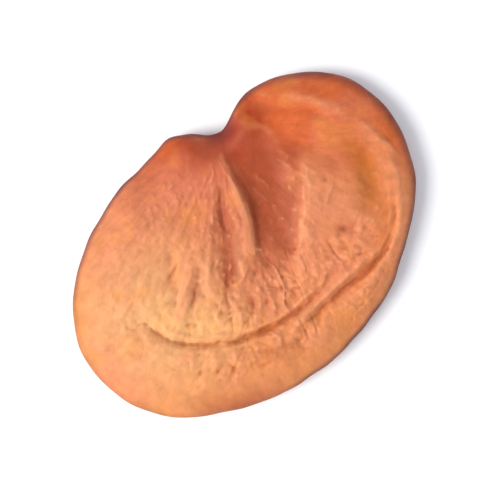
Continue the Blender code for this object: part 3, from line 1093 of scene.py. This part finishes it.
class NodeBench:
    """A short way to place and join shader nodes in one tree."""

    def __init__(self, tree: bpy.types.NodeTree) -> None:
        """Keeps the tree that the nodes go in."""
        self.tree = tree

    def node(self, kind: str, **settings: object) -> bpy.types.Node:
        """Adds a node of a kind, such as "ShaderNodeMath", with its settings."""
        made = self.tree.nodes.new(kind)
        for name, value in settings.items():
            setattr(made, name, value)
        return made

    def feed(self, socket: Socket, value: object) -> None:
        """Sets an input: a socket is linked to it, and anything else is its value."""
        if isinstance(value, Socket):
            self.tree.links.new(value, socket)
        elif isinstance(value, tuple) and len(value) == 3 and socket.type == "RGBA":
            socket.default_value = (*value, 1.0)
        else:
            socket.default_value = value

    def value(self, name: str) -> Socket:
        """A vertex attribute of the piece, as a number."""
        return self.node("ShaderNodeAttribute", attribute_name=name).outputs["Fac"]

    def place(self) -> Socket:
        """Object coordinates."""
        return self.node("ShaderNodeTexCoord").outputs["Object"]

    def math(self, operation: str, *inputs: object) -> Socket:
        """A Math node's result."""
        made = self.node("ShaderNodeMath", operation=operation)
        for socket, value in zip(made.inputs, inputs):
            self.feed(socket, value)
        return made.outputs[0]

    def between(self, value: object, low: float, high: float, top: float = 1.0) -> Socket:
        """A smooth ramp of value, from 0 at low to top at high."""
        made = self.node("ShaderNodeMapRange", interpolation_type="SMOOTHSTEP")
        self.feed(made.inputs["Value"], value)
        made.inputs["From Min"].default_value = low
        made.inputs["From Max"].default_value = high
        made.inputs["To Max"].default_value = top
        return made.outputs["Result"]

    def mix(self, share: object, first: object, second: object) -> Socket:
        """A colour mixed from two by a share."""
        made = self.node("ShaderNodeMix", data_type="RGBA")
        self.feed(made.inputs[0], share)
        self.feed(made.inputs[6], first)
        self.feed(made.inputs[7], second)
        return made.outputs[2]

    def shade(self, colour: object, value: object, dark: float, light: float) -> Socket:
        """A colour scaled from dark to light as value goes from 0.3 to 0.7."""
        factor = self.node("ShaderNodeMapRange")
        self.feed(factor.inputs["Value"], value)
        factor.inputs["From Min"].default_value = 0.3
        factor.inputs["From Max"].default_value = 0.7
        factor.inputs["To Min"].default_value = dark
        factor.inputs["To Max"].default_value = light
        made = self.node("ShaderNodeVectorMath", operation="SCALE")
        self.feed(made.inputs["Vector"], colour)
        self.feed(made.inputs["Scale"], factor.outputs["Result"])
        return made.outputs["Vector"]

    def noise(
        self, vector: object, scale: float, detail: float = 2.0, roughness: float = 0.5
    ) -> Socket:
        """A noise texture's value, about 0.5 on average, at a scale in bumps per metre."""
        made = self.node("ShaderNodeTexNoise")
        self.feed(made.inputs["Vector"], vector)
        made.inputs["Scale"].default_value = scale
        made.inputs["Detail"].default_value = detail
        made.inputs["Roughness"].default_value = roughness
        return made.outputs["Fac"]


@dataclass(frozen=True)
class SeedCoatFinish:
    """The dry coat: satin, redder near the hilum and in the folds, paler along the far rim, with
    painted shade in its creases, hollows, notch and margin, and painted highlight on raised tops.

    Ramps by distance are in millimetres, noise scales in bumps per metre, and the grain's depth
    in metres.
    """

    # Painted shade in the notch, by the hilum.
    notch: Colour = display_colour(118, 44, 34)
    near_hilum: Colour = display_colour(166, 46, 10)
    inner: Colour = display_colour(205, 110, 72)
    middle: Colour = display_colour(225, 134, 91)
    far: Colour = display_colour(229, 142, 85)
    heel: Colour = display_colour(246, 182, 121)
    head: Colour = display_colour(221, 100, 44)
    # red is also painted shade in hollows and on some folds.
    red: Colour = display_colour(170, 72, 38)
    olive: Colour = display_colour(192, 104, 26)
    glow: Colour = display_colour(255, 140, 30)
    straw: Colour = display_colour(254, 194, 122)
    # pale is the coat's paler wear, and also painted highlight on raised tops and on some folds.
    pale: Colour = display_colour(240, 150, 104)
    salmon: Colour = display_colour(236, 134, 100)
    amber: Colour = display_colour(236, 148, 62)
    # crease is painted shade in creases; ridge is painted highlight on raised lines, partly the
    # coat's paler wear.
    crease: Colour = display_colour(160, 74, 38)
    ridge: Colour = display_colour(252, 176, 122)
    # Painted shade along the margin.
    margin_painted_shade: Colour = display_colour(112, 42, 34)
    scar: Colour = display_colour(122, 84, 78)
    roughness: float = 0.56
    roughness_spread: float = 0.14
    specular: float = 0.18
    grain_depth: float = 0.00003

    def colour(self, bench: NodeBench) -> Socket:
        """The coat's colour.

        Args:
            bench: where the nodes go.

        Returns:
            The socket: a ramp by the distance from the hilum, with the heel's and the head's own
                colours and patches, then the folds' tints (real stains, and painted shade and
                painted highlight on some folds), paler tops (wear and painted highlight), painted
                shade in hollows and creases, fine streaks and specks, and last the notch's painted
                shade, the margin's painted shade and the scar.
        """
        place, away = bench.place(), bench.value("hilum_away")
        head, hollow, crease = (bench.value(name) for name in ("head", "hollow", "crease"))
        cloud = bench.math("SUBTRACT", bench.noise(place, 230.0, 3.0, 0.6), 0.5)
        far = bench.math("MULTIPLY_ADD", cloud, 8.0, away)
        colour = bench.mix(bench.between(far, 2.2, 6.2), self.near_hilum, self.inner)
        off_head = bench.math("MULTIPLY_ADD", head, -0.8, 1.0)
        # Raised places: the coat's paler wear and painted highlight, weaker over the head.
        standing = bench.math("MULTIPLY", bench.between(hollow, 0.018, 0.17, 0.42), off_head)
        for share, tint in (
            (bench.between(far, 6.0, 12.0), self.middle),
            (bench.between(far, 12.0, 20.0), self.far),
            (bench.math("MULTIPLY", bench.value("heel"), 0.85), self.heel),
            (bench.math("MULTIPLY", head, 0.85), self.head),
            (bench.between(bench.noise(place, 170.0), 0.48, 0.66, 0.35), self.salmon),
            (bench.between(bench.noise(place, 310.0), 0.52, 0.68, 0.35), self.amber),
            # The folds' tints: real stains, and on some folds painted shade (red) and painted
            # highlight (pale).
            *((bench.math("MULTIPLY", bench.value(stain_and_painted_light.value), most), tint)
              for stain_and_painted_light, tint, most in (
                  (RED, self.red, 0.80), (OLIVE, self.olive, 0.75), (AMBER, self.glow, 0.45),
                  (STRAW, self.straw, 0.60), (PALE, self.pale, 0.60))),
            # Paler raised tops (wear and painted highlight), painted shade in hollows, painted
            # highlight on ridges and painted shade in creases.
            (standing, self.pale),
            (bench.between(hollow, -0.035, -0.23, 0.34), self.red),
            (bench.between(crease, 0.01, 0.07, 0.32), self.ridge),
            (bench.between(crease, -0.015, -0.10, 0.42), self.crease),
        ):
            colour = bench.mix(share, colour, tint)
        drawn = bench.node("ShaderNodeCombineXYZ")
        bench.feed(drawn.inputs["X"], bench.math("MULTIPLY", bench.value("fan_across"), 2.2))
        bench.feed(drawn.inputs["Y"], bench.math("MULTIPLY", away, 0.7))
        streak = bench.math("SUBTRACT", bench.noise(drawn.outputs["Vector"], 1.0, 3.0, 0.6), 0.5)
        streak = bench.math("MULTIPLY_ADD", streak, bench.between(away, 2.0, 8.0), 0.5)
        colour = bench.shade(colour, streak, 0.88, 1.12)
        colour = bench.shade(colour, bench.noise(place, 1500.0, 3.0, 0.6), 0.93, 1.07)
        # Painted shade along the margin, made uneven by noise.
        uneven = bench.between(bench.noise(place, 260.0, 3.0, 0.6), 0.25, 0.75, 0.45)
        margin = bench.math("MULTIPLY", bench.value("margin"), bench.math("ADD", uneven, 0.62))
        # Painted shade in the notch and along the margin, then the scar's own colour.
        for share, tint in (
            (bench.between(away, 1.9, 0.3, 0.75), self.notch),
            (margin, self.margin_painted_shade),
            (bench.math("MULTIPLY", bench.value("scar"), 0.85), self.scar),
        ):
            colour = bench.mix(share, colour, tint)
        return colour

    def material(self) -> bpy.types.Material:
        """Makes the coat's material.

        Returns:
            The material, with colour, roughness and fine grain that change over the surface.
        """
        made = bpy.data.materials.new("seed_coat")
        made.use_nodes = True
        bench = NodeBench(made.node_tree)
        shader = made.node_tree.nodes["Principled BSDF"]
        place = bench.place()
        bench.feed(shader.inputs["Base Color"], self.colour(bench))
        patchy = bench.between(bench.noise(place, 700.0, 3.0, 0.6), 0.3, 0.7)
        least = self.roughness - self.roughness_spread / 2
        roughness = bench.math("MULTIPLY_ADD", patchy, self.roughness_spread, least)
        bench.feed(shader.inputs["Roughness"], roughness)
        shader.inputs["Specular IOR Level"].default_value = self.specular
        bump = bench.node("ShaderNodeBump")
        bump.inputs["Distance"].default_value = self.grain_depth
        bump.inputs["Strength"].default_value = 1.0
        coarse = bench.noise(place, 2300.0, 3.0, 0.55)
        grain = bench.math("MULTIPLY_ADD", bench.noise(place, 6500.0), 0.4, coarse)
        bench.feed(bump.inputs["Height"], grain)
        bench.feed(shader.inputs["Normal"], bump.outputs["Normal"])
        return made


@dataclass(frozen=True)
class Studio:
    """A white floor, soft light from the picture's left, and a camera straight above the seed.

    Lengths are in metres, the key's height and bearing in degrees, and its power in watts. The
    near clip is short, because the seed is small and a camera may come close to it.
    """

    floor_size: float = 3.0
    floor_colour: Colour = (0.93, 0.93, 0.935)
    floor_roughness: float = 0.9
    lens: float = 90.0
    frame_width: float = 0.041
    near_clip: float = 0.01
    picture_turn: float = 45.0
    key_power: float = 2.95 * LIGHT_GAIN
    key_size: float = 0.36
    key_distance: float = 0.62
    key_height: float = 48.0
    key_bearing: float = 200.0
    key_colour: Colour = (1.0, 0.975, 0.94)
    sky: Colour = (0.88, 0.92, 1.0)
    sky_strength: float = 0.60 * LIGHT_GAIN

    def picture_axes(self) -> tuple[Vector, Vector]:
        """The picture's right and up, in the seed's frame: the seed's head points up and right."""
        turn = math.radians(self.picture_turn)
        right = Vector((math.cos(turn), -math.sin(turn), 0))
        return right, Vector((math.sin(turn), math.cos(turn), 0))

    def floor(self) -> None:
        """Lays the plain white floor under the seed."""
        half = self.floor_size / 2
        mesh = bpy.data.meshes.new("floor")
        corners = [(-half, -half, 0), (half, -half, 0), (half, half, 0), (-half, half, 0)]
        mesh.from_pydata(corners, [], [(0, 1, 2, 3)])
        floor = bpy.data.objects.new("floor", mesh)
        bpy.context.scene.collection.objects.link(floor)
        made = bpy.data.materials.new("floor")
        made.use_nodes = True
        shader = made.node_tree.nodes["Principled BSDF"]
        shader.inputs["Base Color"].default_value = (*self.floor_colour, 1.0)
        shader.inputs["Roughness"].default_value = self.floor_roughness
        mesh.materials.append(made)

    def lights(self) -> None:
        """Sets a large soft lamp at the picture's left, and an even sky."""
        scene = bpy.context.scene
        right, up = self.picture_axes()
        bearing, height = math.radians(self.key_bearing), math.radians(self.key_height)
        flat = right * math.cos(bearing) + up * math.sin(bearing)
        direction = flat * math.cos(height) + Vector((0, 0, math.sin(height)))
        data = bpy.data.lights.new("key", "AREA")
        data.shape = "DISK"
        data.size = self.key_size
        data.energy = self.key_power
        data.color = self.key_colour
        lamp = bpy.data.objects.new("key", data)
        lamp.location = direction * self.key_distance
        lamp.rotation_euler = direction.to_track_quat("Z", "Y").to_euler()
        scene.collection.objects.link(lamp)
        world = bpy.data.worlds.new("studio")
        scene.world = world
        world.use_nodes = True
        sky = world.node_tree.nodes["Background"]
        sky.inputs["Color"].default_value = (*self.sky, 1.0)
        sky.inputs["Strength"].default_value = self.sky_strength
        scene.view_settings.view_transform = "Standard"

    def camera(self) -> None:
        """Hangs the camera straight above the seed, so that the seed fills most of the frame."""
        low, high = (Vector(corner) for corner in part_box("seed"))
        aim = (low + high) / 2
        right, up = self.picture_axes()
        data = bpy.data.cameras.new("camera")
        data.lens = self.lens
        data.clip_start = self.near_clip
        distance = self.frame_width * self.lens / data.sensor_width
        camera = bpy.data.objects.new("camera", data)
        turn = Matrix((right, up, right.cross(up))).transposed().to_4x4()
        camera.matrix_world = Matrix.Translation(aim + right.cross(up) * distance) @ turn
        bpy.context.scene.collection.objects.link(camera)
        bpy.context.scene.camera = camera


def main() -> None:
    """Builds the studio and the seed, and logs how many faces the seed has."""
    studio = Studio()
    studio.camera()
    studio.lights()
    studio.floor()
    seed = SeedSurface()
    piece = seed.build()
    piece.data.materials.append(SeedCoatFinish().material())
    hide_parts("seed")
    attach(piece, "root")
    log.info("%s: %d faces", piece.name, len(piece.data.polygons))
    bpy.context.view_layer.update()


if __name__ == "__main__":
    logging.basicConfig(level=logging.INFO)
    main()
